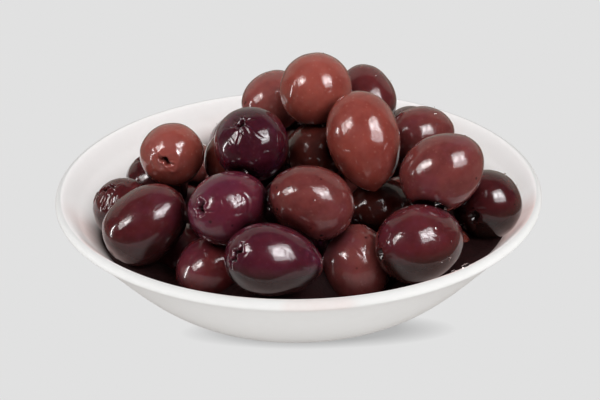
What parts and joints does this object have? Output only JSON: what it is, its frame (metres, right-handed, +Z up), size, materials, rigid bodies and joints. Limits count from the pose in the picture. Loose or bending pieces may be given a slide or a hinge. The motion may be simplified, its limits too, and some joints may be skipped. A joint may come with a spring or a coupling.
{
  "type": "dish of olives",
  "caption": "Shallow round white glazed dish with a rounded rim bead, heaped high with dark red and purple table olives that lean towards the front right.",
  "frame": {"origin": "centre of the dish's flat underside", "axes": "+Z up through the middle of the dish; -Y is the front, where the heap is highest and fullest; +X is to the right seen from the front"},
  "size_m": [0.14, 0.14, 0.0721],
  "materials": {
    "glaze": "smooth white glaze with soft gloss, and a thin rosy film of brine on the rim and inside wall",
    "olive_skin": null
  },
  "bodies": {
    "root": {"dish": "glaze", "olives": "olive_skin"}
  },
  "joints": []
}
